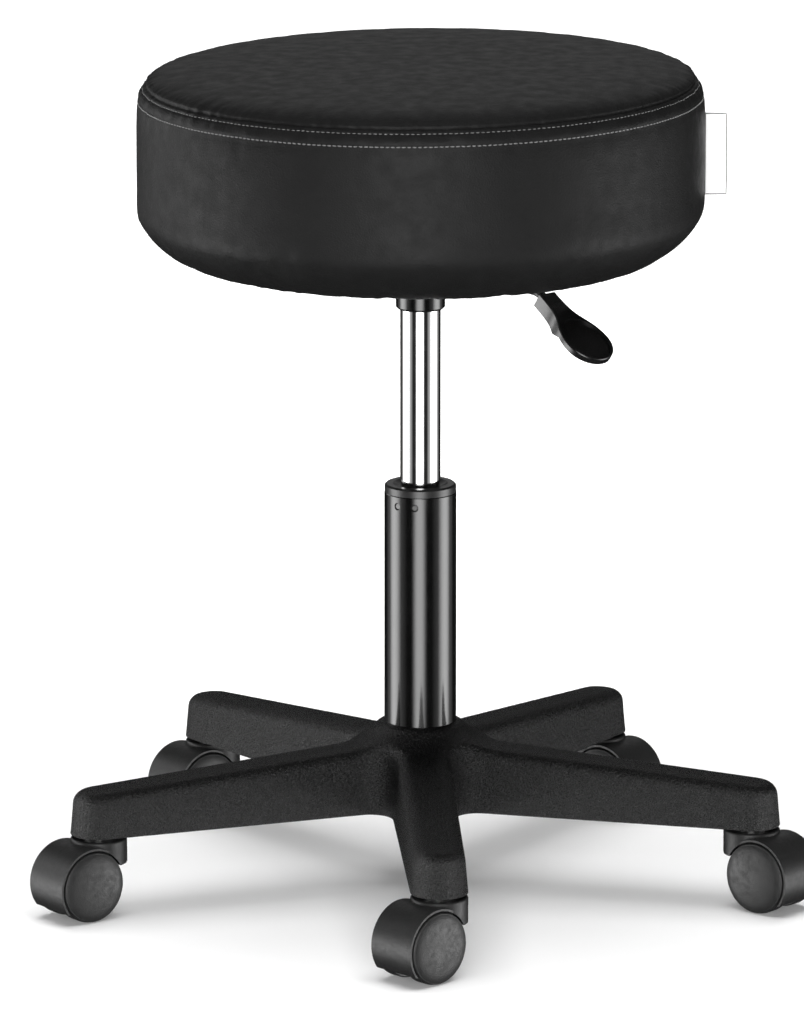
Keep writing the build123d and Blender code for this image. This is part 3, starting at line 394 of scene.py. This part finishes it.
def cushion_sections():
    """Half sections (r, z) of the cushion: its outside from lip to crest, and the pocket for the board."""
    r, z = SEAT_RADIUS, SEAT_UNDER
    low = z - UNDER_BULGE
    turns = np.radians(np.linspace(0, 90, 6))
    corner = [
        (
            r - (1 - sin(t) ** CORNER_ROUNDNESS) * CORNER_WIDTH,
            low + (1 - cos(t) ** CORNER_ROUNDNESS) * CORNER_HEIGHT,
        )
        for t in turns
    ]
    under = np.array([(LIP_RADIUS, z), (BOARD_RADIUS - 2 * MM, z), (r - CORNER_WIDTH, low)])
    side = smooth_line([
        *corner, (r + 0.1 * MM, z + 55 * MM), (r + 0.2 * MM, z + 78 * MM), (r + 0.1 * MM, z + 96 * MM),
        (LOWER_STITCH[0] + 0.1 * MM, LOWER_STITCH[1]),
    ])
    strip = smooth_line([LOWER_STITCH, (193.1 * MM, 559.5 * MM), UPPER_STITCH, SEAM_JOIN])
    top = smooth_line([
        SEAM_JOIN, (187.4 * MM, 568.8 * MM), (182.4 * MM, 571.9 * MM), (171 * MM, 574.7 * MM),
        (150 * MM, 576.7 * MM), (116 * MM, 578.2 * MM), (60 * MM, SEAT_CREST), (0, SEAT_CREST),
    ])
    rim = 24  # points of the top's tight edge, which takes a finer step than the rest of the top
    runs = [
        (under, 5 * MM), (side, 4 * MM), (strip, 0.9 * MM), (top[:rim], 1.2 * MM), (top[rim - 1:], 4 * MM),
    ]
    line = [under[0]]
    for part, step in runs:
        length = np.hypot(*np.diff(part, axis=0).T)
        reach = np.concatenate([[0], np.cumsum(length)])
        count = max(2, round(reach[-1] / step))
        at = np.linspace(0, reach[-1], count + 1)[1:]
        line += list(np.column_stack([np.interp(at, reach, part[:, 0]), np.interp(at, reach, part[:, 1])]))
    ceiling = BOARD_TOP + 0.3 * MM
    wall = BOARD_RADIUS + 0.4 * MM
    lip_top = SEAT_UNDER + 1.2 * MM
    pocket = np.array([(LIP_RADIUS, lip_top), (wall, lip_top), (wall, ceiling), (0, ceiling)])
    return np.array(line), resample(pocket, (6 * MM, 4 * MM, 12 * MM))


def spun(line, columns):
    """Points of a half section turned about Z, row by row. A last point on the axis stays one point."""
    angle = np.arange(columns) * tau / columns
    rows = line[:-1] if line[-1][0] < 1e-9 else line
    ring = np.stack([np.cos(angle), np.sin(angle)], -1)
    points = np.concatenate([rows[:, None, :1] * ring[None], np.repeat(rows[:, None, 1:], columns, 1)], -1)
    return points.reshape(-1, 3)


def closed_cushion(outside, pocket, outside_points, columns):
    """Vertices and faces of the closed cushion, from its outside's points and its pocket's section."""
    rows_out, rows_in = len(outside) - 1, len(pocket) - 1
    points = [*outside_points, *spun(pocket, columns)]
    faces = grid_faces(rows_out, columns)
    inner = rows_out * columns
    faces += [tuple(reversed(f)) for f in grid_faces(rows_in, columns, inner)]
    crest, roof = len(points), len(points) + 1
    points += [(0, 0, outside[-1][1]), (0, 0, pocket[-1][1])]
    last_out, last_in = (rows_out - 1) * columns, inner + (rows_in - 1) * columns
    for j in range(columns):
        k = (j + 1) % columns
        faces.append((last_out + j, last_out + k, crest))
        faces.append((last_in + k, last_in + j, roof))
        faces.append((inner + j, inner + k, k, j))
    return points, faces


def along(values, at):
    """values at fractional column numbers, round a ring."""
    columns = values.shape[1]
    low = np.floor(at).astype(int)
    part = (at - low)[None, :, None]
    part = part * part * (3 - 2 * part)
    return values[:, low % columns] * (1 - part) + values[:, (low + 1) % columns] * part


CLOTH_STEP = 5.5 * MM
MOST_STRAY = 2.2 * MM
BAND_SLACK = 0.3  # how much of the simulated stray the band keeps
TOP_SLACK = 0.14  # the same for the top panel, which is stretched tighter, and not at all in its middle


def simulate_cushion(outside, columns=150, frames=20):
    """Blow the cover up from inside with cloth, and return how far each point strays from an even bulge.

    The outside is held where it is stapled under the board and, softly, along its seam.
    """
    keep = [0]
    for i in range(1, len(outside) - 1):
        if np.hypot(*(outside[i] - outside[keep[-1]])) > CLOTH_STEP:
            keep.append(i)
    line = np.vstack([outside[keep], outside[-1:]])
    rng = np.random.default_rng(7)
    start = spun(line, columns).reshape(len(keep), columns, 3)
    start += rng.normal(0, 0.00012, start.shape)
    lid = np.array([line[0] + (0, 1.2 * MM), (0, SEAT_UNDER + 1.2 * MM)])
    points, faces = closed_cushion(line, lid, start.reshape(-1, 3), columns)
    mesh = bpy.data.meshes.new("cushion_cloth")
    mesh.from_pydata([tuple(p) for p in points], [], faces)
    cloth = bpy.data.objects.new("cushion_cloth", mesh)
    bpy.context.collection.objects.link(cloth)
    held = cloth.vertex_groups.new(name="held")
    count = len(keep) * columns
    rows = np.repeat(line[:-1], columns, 0)
    seam = np.abs(rows[:, 1] - SEAM_JOIN[1]) < 3.5 * MM
    fixed = (rows[:, 1] < SEAT_UNDER + 3 * MM) & (rows[:, 0] < BOARD_RADIUS + 8 * MM)
    held.add([int(i) for i in np.nonzero(fixed)[0]] + list(range(count, len(points))), 1.0, "REPLACE")
    held.add([int(i) for i in np.nonzero(seam & (rows[:, 0] > 0.15))[0]], 0.85, "REPLACE")
    bpy.context.view_layer.objects.active = cloth
    modifier = cloth.modifiers.new("cloth", "CLOTH")
    settings = modifier.settings
    settings.quality = 6
    settings.mass = 0.25
    settings.tension_stiffness = settings.compression_stiffness = 25
    settings.shear_stiffness = 12
    settings.bending_stiffness = 1.2
    settings.use_pressure = True
    settings.uniform_pressure_force = 4.0
    settings.shrink_min = -0.015
    settings.vertex_group_mass = "held"
    settings.pin_stiffness = 8
    settings.effector_weights.gravity = 0
    modifier.collision_settings.use_collision = False
    modifier.collision_settings.use_self_collision = False
    modifier.point_cache.frame_start, modifier.point_cache.frame_end = 1, frames
    for number in range(1, frames + 1):
        bpy.context.scene.frame_set(number)
    moved = cloth.evaluated_get(bpy.context.evaluated_depsgraph_get()).data
    found = np.empty(len(moved.vertices) * 3)
    moved.vertices.foreach_get("co", found)
    found = found.reshape(-1, 3)[:count].reshape(len(keep), columns, 3)
    bpy.data.objects.remove(cloth, do_unlink=True)
    bpy.context.scene.frame_set(1)
    angle = np.arange(columns) * tau / columns
    out = np.stack([np.cos(angle), np.sin(angle)], -1)
    radial = (found[..., :2] * out).sum(-1) - line[:-1, :1]
    height = found[..., 2] - line[:-1, 1:]
    stray = np.stack([radial - radial.mean(1, keepdims=True), height - height.mean(1, keepdims=True)], -1)
    radius, level = line[:-1].T
    slack = np.where(level > SEAM_JOIN[1], TOP_SLACK * np.clip((radius - 0.06) / 0.1, 0, 1), BAND_SLACK)
    return np.array(keep), np.clip(stray, -MOST_STRAY, MOST_STRAY) * slack[:, None, None]


def ripple(angle, seed, waves):
    """A smooth random function round the seat, between about -1 and 1."""
    rng = np.random.default_rng(seed)
    total = np.zeros_like(angle)
    for number in waves:
        total += rng.normal() * np.cos(number * angle + rng.uniform(0, tau))
    return total / np.sqrt(len(waves))


def bell(x, width):
    """A smooth bump that is 1 where x is 0."""
    return np.exp(-(x / width) ** 2)


def rise(x, start, width):
    """A straight rise from 0 at start to 1 at start plus width."""
    return np.clip((x - start) / width, 0, 1)


def make_cushion(columns=720):
    """The padded seat: its section turned about the axis, slackened, stitched in, puckered and pleated."""
    outside, pocket = cushion_sections()
    rows = len(outside) - 1
    points = spun(outside, columns).reshape(rows, columns, 3)
    angle = np.arange(columns) * tau / columns
    r, z = outside[:-1, 0][:, None], outside[:-1, 1][:, None]
    out = np.stack([np.cos(angle), np.sin(angle)], -1)
    radial = np.zeros((rows, columns))
    height = np.zeros((rows, columns))

    keep, stray = simulate_cushion(outside)
    fine = along(stray, np.arange(columns) * stray.shape[1] / columns)
    for j, field in enumerate((radial, height)):
        for column in range(columns):
            field[:, column] = np.interp(np.arange(rows), keep, fine[:, column, j])

    # Stitch lines pull the cover in; short puckers cross the strip between them and run into the top's edge
    tangent = np.gradient(outside[:-1], axis=0)
    normal = np.column_stack([tangent[:, 1], -tangent[:, 0]])
    normal /= np.hypot(*normal.T)[:, None]
    inward = np.zeros((rows, columns))
    for line, depth, width in (
        (LOWER_STITCH, 0.55 * MM, 0.9 * MM),
        (UPPER_STITCH, 0.65 * MM, 0.9 * MM),
        (SEAM_JOIN, 1.5 * MM, 1.0 * MM),
    ):
        inward += depth * bell(np.hypot(r - line[0], z - line[1]), width)
    near = bell(np.hypot(r - SEAM_JOIN[0], z - SEAM_JOIN[1]), 9 * MM)
    inward += 0.28 * MM * near * ripple(angle, 3, range(38, 90, 3))[None]
    inward += 0.22 * MM * near * ripple(angle, 4, range(90, 180, 5))[None]

    # The upright seam that closes the band, from under the seat to the lower stitching
    turn = (angle - SEAM_DIRECTION + pi) % tau - pi
    across = turn * SEAT_RADIUS
    band = 1 / (1 + np.exp((z - LOWER_STITCH[1]) / (1.5 * MM))) * rise(r, 150 * MM, 10 * MM)
    groove = 1.2 * MM * bell(across, 0.9 * MM) - 0.35 * MM * bell(np.abs(across) - 4 * MM, 2.5 * MM)
    inward += band * groove[None]

    # Slack in the side, and pleats where the cover is gathered under the board
    on_side = bell(z - 505 * MM, 35 * MM) * (r > 170 * MM)
    inward += 0.35 * MM * on_side * ripple(angle, 11, range(2, 9))[None]
    under = rise(-z, -SEAT_UNDER - 12 * MM, 12 * MM)
    under = under * rise(r, 141 * MM, 8 * MM) * rise(-r, -164 * MM, 12 * MM)
    pleat = np.abs(ripple(angle, 21, range(26, 64, 2)))
    inward += 0.7 * MM * under * pleat[None]

    radial -= inward * normal[:, :1]
    height -= inward * normal[:, 1:]
    fixed = (z < SEAT_UNDER + 0.05 * MM) & (r < BOARD_RADIUS + 1 * MM)
    radial = np.where(fixed, 0, radial)
    height = np.where(fixed, 0, height)
    points[..., :2] += radial[..., None] * out[None]
    points[..., 2] += height
    settled = np.where(z < SEAT_UNDER + 20 * MM, rise(r, 150 * MM, 25 * MM), 1.0)
    points[..., 2] += ROLL * points[..., 0] * settled
    points[-1, :, 2] = points[-1, :, 2].mean()
    outside[-1, 1] = points[-1, 0, 2]
    points[..., 2] = np.minimum(points[..., 2], SEAT_CREST + 1.0 * MM)
    vertices, faces = closed_cushion(outside, pocket, points.reshape(-1, 3), columns)
    piece = new_piece("seat_cushion", vertices, faces, VINYL)
    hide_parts("foam_pad", "cover_top", "cover_band")
    return piece


# ---------------------------------------------------------------- thread
def tube_points(path, radius, sides, across):
    """A closed tube round a short path of points with a radius at each, for one stitch."""
    path = np.asarray(path)
    ahead = np.gradient(path, axis=0)
    ahead /= np.linalg.norm(ahead, axis=1)[:, None]
    side = np.cross(ahead, across)
    side /= np.linalg.norm(side, axis=1)[:, None]
    up = np.cross(side, ahead)
    turn = np.arange(sides) * tau / sides
    out = np.cos(turn)[None, :, None] * side[:, None] + np.sin(turn)[None, :, None] * up[:, None]
    return (path[:, None] + radius[:, None, None] * out).reshape(-1, 3)


def make_stitches(name, section, pitch, length, radius, tree):
    """A row of lockstitches at one (r, z) of the cushion's section, each dipping in at both ends."""
    count = round(tau * section[0] / pitch)
    rng = np.random.default_rng(int(section[1] * 1e6) % 1000)
    sides, rings = 8, 9
    shape = np.sin(np.linspace(0.12, pi - 0.12, rings))
    points, faces = [], []
    for number in range(count):
        middle = (number + 0.5) * tau / count
        half = 0.5 * length * rng.uniform(0.92, 1.06) / section[0]
        tilt = rng.normal(0, 0.00008)
        path = []
        for k, t in enumerate(np.linspace(-1, 1, rings)):
            a = middle + half * t
            heading = Vector((cos(a), sin(a), 0))
            origin = heading * (section[0] + 0.03)
            origin.z = section[1] + tilt * t + ROLL * section[0] * cos(a)
            spot, facing, _, _ = tree.ray_cast(origin, -heading)
            depth = (0.35 - 1.5 * (1 - shape[k])) * radius
            path.append(spot + facing * depth)
        base = len(points)
        size = radius * (0.55 + 0.45 * shape)  # each end is drawn thinner
        points += list(tube_points(path, size, sides, np.array((0, 0, 1.0))))
        faces += grid_faces(rings, sides, base)
        faces.append(tuple(base + j for j in reversed(range(sides))))
        faces.append(tuple(base + (rings - 1) * sides + j for j in range(sides)))
    return new_piece(name, points, faces, THREAD)


cushion = make_cushion()
CUSHION_TREE = BVHTree.FromPolygons(
    [v.co for v in cushion.data.vertices], [tuple(f.vertices) for f in cushion.data.polygons]
)
STITCH_PITCH = 3.6 * MM
make_stitches("lower_stitching", LOWER_STITCH, STITCH_PITCH, 3.0 * MM, 0.42 * MM, CUSHION_TREE)
make_stitches("upper_stitching", UPPER_STITCH, STITCH_PITCH, 2.7 * MM, 0.28 * MM, CUSHION_TREE)


# ---------------------------------------------------------------- side tag
def make_tag():
    """A blank ribbon folded in two, its ends sewn into the upright seam, with a woven border line."""
    low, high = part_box("side_tag")
    inner, outer = SEAT_RADIUS - 1.5 * MM, Vector((high.x, low.y, 0)).length
    reach = outer - inner
    bottom, top = low.z, high.z
    half, thick = 0.28 * MM, 0.16 * MM
    heading = Vector((cos(SEAM_DIRECTION), sin(SEAM_DIRECTION), 0))
    side = Vector((-heading.y, heading.x, 0))

    def place(u, v, offset):
        """u runs out from the seam, v up and offset sideways. The ribbon bows and its corners lift."""
        out = u / reach
        bow = 0.9 * MM * sin(pi * v) * out**1.5 + 0.5 * MM * out**2 * cos(2.2 * v + 0.4)
        waver = 0.25 * MM * out * sin(5 * v)
        height = bottom + (top - bottom) * v + ROLL * inner
        return heading * (inner + u + waver) + side * (offset + bow) + Vector((0, 0, height))

    across = [(u, -half) for u in np.linspace(0, reach - half, 14)]
    across += [(reach - half + half * cos(t), half * sin(t)) for t in np.linspace(-pi / 2, pi / 2, 7)[1:-1]]
    across += [(u, half) for u in np.linspace(reach - half, 0, 14)]
    rows = 40
    middle = [[place(u, v, w) for u, w in across] for v in np.linspace(0, 1, rows)]
    skin = []
    for row in middle:
        ahead = [(row[min(j + 1, len(row) - 1)] - row[max(j - 1, 0)]).normalized() for j in range(len(row))]
        normals = [Vector((d.y, -d.x, 0)).normalized() for d in ahead]
        outer_skin = [p + n * thick / 2 for p, n in zip(row, normals)]
        inner_skin = [p - n * thick / 2 for p, n in zip(row, normals)]
        skin.append(outer_skin + inner_skin[::-1])
    width = len(skin[0])
    points = [p for row in skin for p in row]
    faces = grid_faces(rows, width)
    count = len(across)
    for j in range(count - 1):
        faces.append((j + 1, j, width - 1 - j, width - 2 - j))
        last = (rows - 1) * width
        faces.append((last + j, last + j + 1, last + width - 2 - j, last + width - 1 - j))
    tag = new_piece("side_tag_ribbon", points, faces, make_ribbon())
    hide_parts("side_tag")

    # Border line woven near the ribbon's edges, on both of its faces
    size = 0.24 * MM
    inset = 1.0 * MM
    left, right = 2.2 * MM, reach - inset
    v_in = inset / (top - bottom)
    loop = [(u, v_in) for u in np.linspace(left, right, 18)]
    loop += [(right, v) for v in np.linspace(v_in, 1 - v_in, 50)[1:]]
    loop += [(u, 1 - v_in) for u in np.linspace(right, left, 18)[1:]]
    loop += [(left, v) for v in np.linspace(1 - v_in, v_in, 50)[1:-1]]
    border, border_faces = [], []
    for face in (-1, 1):
        ring = [place(u, v, face * (half + thick / 2 + 0.02 * MM)) for u, v in loop]
        base, total = len(border), len(ring)
        for j, p in enumerate(ring):
            flow = (ring[(j + 1) % total] - ring[j - 1]).normalized()
            wide = flow.cross(side).normalized() * size * 1.3
            high_by = side * size * 0.45
            border += [p + wide, p + high_by * face, p - wide, p - high_by * face]
        for j in range(total):
            a, b = base + j * 4, base + (j + 1) % total * 4
            for m in range(4):
                n = (m + 1) % 4
                border_faces.append((a + m, a + n, b + n, b + m))
    new_piece("side_tag_border", border, border_faces, make_border_thread())


make_tag()


# ---------------------------------------------------------------- dust cover
def make_dust_cover():
    """Thin cloth stretched under the board, drawn tight at each staple and a little slack between."""
    low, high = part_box("dust_cover")
    radius, bottom, thick = high.y, low.z, 0.35 * MM
    columns, rings, staples = 240, 26, 24
    angle = np.arange(columns) * tau / columns
    edge = radius - 0.4 * MM * (1 + np.cos(staples * angle))
    layers = []
    for level in (0, 1):
        rows = []
        for k in range(1, rings + 1):
            t = k / rings
            sag = 0.12 * MM * (1 - t**4) * (1 + ripple(angle, 31, range(3, 12)) * t)
            pull = 0.10 * MM * t**6 * (1 + np.cos(staples * angle))
            z = bottom + (thick if level else 0) + 0.1 * MM - sag * 0.4 + pull * 0.4
            rows.append(np.column_stack([edge * t * np.cos(angle), edge * t * np.sin(angle), z]))
        layers.append(np.vstack(rows))
    middles = [(0, 0, layer[:columns, 2].mean()) for layer in layers]
    points = [*layers[0], *layers[1], *middles]
    size = columns * rings
    faces = [tuple(reversed(f)) for f in grid_faces(rings, columns)] + grid_faces(rings, columns, size)
    for j in range(columns):
        k = (j + 1) % columns
        last = (rings - 1) * columns
        faces.append((last + j, last + k, size + last + k, size + last + j)[::-1])
        faces.append((k, j, 2 * size))
        faces.append((size + j, size + k, 2 * size + 1))
    piece = new_piece("dust_cloth", points, faces, make_non_woven())
    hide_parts("dust_cover")


make_dust_cover()


# ---------------------------------------------------------------- studio
VIEW_AZIMUTH = 87.05  # the way the camera looks, in degrees from +X towards +Y
VIEW_DROP = 12.88  # how far it looks down
CAMERA_PLACE = (-0.2906, -5.3922, 1.4987)
LENS = 281.2
FACING = VIEW_AZIMUTH - 180  # from the stool back to the camera

# Each light's brightness at angles from its middle, in degrees
FRONT_PROFILE = ((0, 1.0), (9, 0.9), (15, 0.5), (20, 0.15), (25, 0.0))
SIDE_PROFILE = ((0, 1.0), (9, 0.88), (17, 0.5), (24, 0.1), (40, 0.03), (46, 0.0))
BACK_PROFILE = ((0, 1.0), (14, 0.9), (23, 0.3), (32, 0.0))
RIM_PROFILE = ((0, 1.0), (10, 0.7), (20, 0.0))


def emission_card(name, azimuth, distance, low, high, strength, profile):
    """An upright soft light that bends round the stool at a distance, from height low to high."""
    width = 2 * profile[-1][0]
    columns, rows = 24, 6
    points, faces = [], []
    for i in range(rows + 1):
        for j in range(columns + 1):
            a = radians(azimuth + width * (j / columns - 0.5))
            points.append((distance * cos(a), distance * sin(a), low + (high - low) * i / rows))
    for i in range(rows):
        for j in range(columns):
            a = i * (columns + 1) + j
            faces.append((a, a + 1, a + columns + 2, a + columns + 1))
    mesh = bpy.data.meshes.new(name)
    mesh.from_pydata(points, [], faces)
    layer = mesh.uv_layers.new(name="card")
    for loop in mesh.loops:
        column = loop.vertex_index % (columns + 1)
        layer.data[loop.index].uv = (column / columns, 0.5)
    material = bpy.data.materials.new(name)
    material.use_nodes = True
    nodes, links = material.node_tree.nodes, material.node_tree.links
    nodes.clear()
    uv = nodes.new("ShaderNodeUVMap")
    uv.uv_map = "card"
    split = nodes.new("ShaderNodeSeparateXYZ")
    links.new(uv.outputs["UV"], split.inputs["Vector"])
    ramp = nodes.new("ShaderNodeValToRGB")
    ramp.color_ramp.elements[0].color = ramp.color_ramp.elements[1].color = (0, 0, 0, 1)
    for offset, glow in profile[:-1]:
        for side in (-1, 1):
            stop = ramp.color_ramp.elements.new(0.5 + side * max(offset, 0.1) / width)
            stop.color = (glow, glow, glow, 1)
    links.new(split.outputs["X"], ramp.inputs["Fac"])
    emit = nodes.new("ShaderNodeEmission")
    emit.inputs["Strength"].default_value = strength
    links.new(ramp.outputs["Color"], emit.inputs["Color"])
    output = nodes.new("ShaderNodeOutputMaterial")
    links.new(emit.outputs["Emission"], output.inputs["Surface"])
    mesh.materials.append(material)
    card = bpy.data.objects.new(name, mesh)
    bpy.context.collection.objects.link(card)
    card.visible_camera = False
    card.visible_shadow = False


emission_card("front_light", FACING - 3, 3.0, low=-1.5, high=1.5, strength=7.0, profile=FRONT_PROFILE)
emission_card("left_light", FACING - 89, 2.4, low=-1.1, high=0.2, strength=7.0, profile=SIDE_PROFILE)
emission_card("right_light", FACING + 83, 2.4, low=-1.1, high=0.2, strength=7.0, profile=SIDE_PROFILE)


def make_floor():
    """White paper that glows more the further it is from the stool, so that it fades into the backdrop."""
    mesh = bpy.data.meshes.new("floor")
    reach = 14.0
    corners = [(-reach, -reach, 0), (reach, -reach, 0), (reach, reach, 0), (-reach, reach, 0)]
    mesh.from_pydata(corners, [], [(0, 1, 2, 3)])
    floor = bpy.data.objects.new("floor", mesh)
    bpy.context.collection.objects.link(floor)
    material = bpy.data.materials.new("floor_paper")
    material.use_nodes = True
    shader = material.node_tree.nodes["Principled BSDF"]
    shader.inputs["Base Color"].default_value = (0.8, 0.8, 0.8, 1)
    shader.inputs["Roughness"].default_value = 0.9
    shader.inputs["Specular IOR Level"].default_value = 0.0
    shader.inputs["Emission Color"].default_value = (1, 1, 1, 1)
    nodes, links = material.node_tree.nodes, material.node_tree.links
    away = nodes.new("ShaderNodeVectorMath")
    away.operation = "LENGTH"
    links.new(nodes.new("ShaderNodeTexCoord").outputs["Object"], away.inputs[0])
    glow = nodes.new("ShaderNodeMapRange")
    for key, number in zip(("From Min", "From Max", "To Min", "To Max"), (0.35, 1.4, 0.12, 1.0)):
        glow.inputs[key].default_value = number
    links.new(away.outputs["Value"], glow.inputs["Value"])
    links.new(glow.outputs["Result"], shader.inputs["Emission Strength"])
    mesh.materials.append(material)
    floor.visible_glossy = False
    floor.visible_shadow = False


def make_overhead(height, size, power):
    """A soft light straight above that lights the floor and the cushion but isn't seen in gloss."""
    data = bpy.data.lights.new("overhead", "AREA")
    data.shape = "RECTANGLE"
    data.size = data.size_y = size
    data.energy = power
    light = bpy.data.objects.new("overhead", data)
    light.location = (0, 0, height)
    light.rotation_euler = Vector((0, 0, -height)).to_track_quat("-Z", "Y").to_euler()
    bpy.context.collection.objects.link(light)
    light.visible_camera = False
    light.visible_glossy = False


def make_world():
    """A backdrop that the camera sees as white and that hardly lights the stool."""
    world = bpy.data.worlds.new("studio")
    bpy.context.scene.world = world
    world.use_nodes = True
    tree = world.node_tree
    seen = tree.nodes["Background"]
    seen.inputs["Color"].default_value = (1, 1, 1, 1)
    seen.inputs["Strength"].default_value = 1.0
    dim = tree.nodes.new("ShaderNodeBackground")
    dim.inputs["Color"].default_value = (1, 1, 1, 1)
    dim.inputs["Strength"].default_value = 0.02
    blend = tree.nodes.new("ShaderNodeMixShader")
    tree.links.new(tree.nodes.new("ShaderNodeLightPath").outputs["Is Camera Ray"], blend.inputs["Fac"])
    tree.links.new(dim.outputs["Background"], blend.inputs[1])
    tree.links.new(seen.outputs["Background"], blend.inputs[2])
    tree.links.new(blend.outputs["Shader"], tree.nodes["World Output"].inputs["Surface"])


def make_camera():
    data = bpy.data.cameras.new("camera")
    data.sensor_width = 36
    data.lens = LENS
    data.clip_end = 100
    camera = bpy.data.objects.new("camera", data)
    camera.location = CAMERA_PLACE
    turn, drop = radians(VIEW_AZIMUTH), radians(VIEW_DROP)
    ahead = Vector((cos(drop) * cos(turn), cos(drop) * sin(turn), -sin(drop)))
    camera.rotation_euler = ahead.to_track_quat("-Z", "Y").to_euler()
    bpy.context.collection.objects.link(camera)
    bpy.context.scene.camera = camera


make_floor()
emission_card("back_light", VIEW_AZIMUTH, 3.0, low=0.9, high=2.9, strength=0.48, profile=BACK_PROFILE)
emission_card("left_rim_light", FACING - 120, 2.4, low=0.2, high=1.2, strength=3.4, profile=RIM_PROFILE)
make_overhead(height=3.0, size=3.2, power=165)
make_world()
make_camera()
bpy.context.scene.view_settings.view_transform = "Standard"
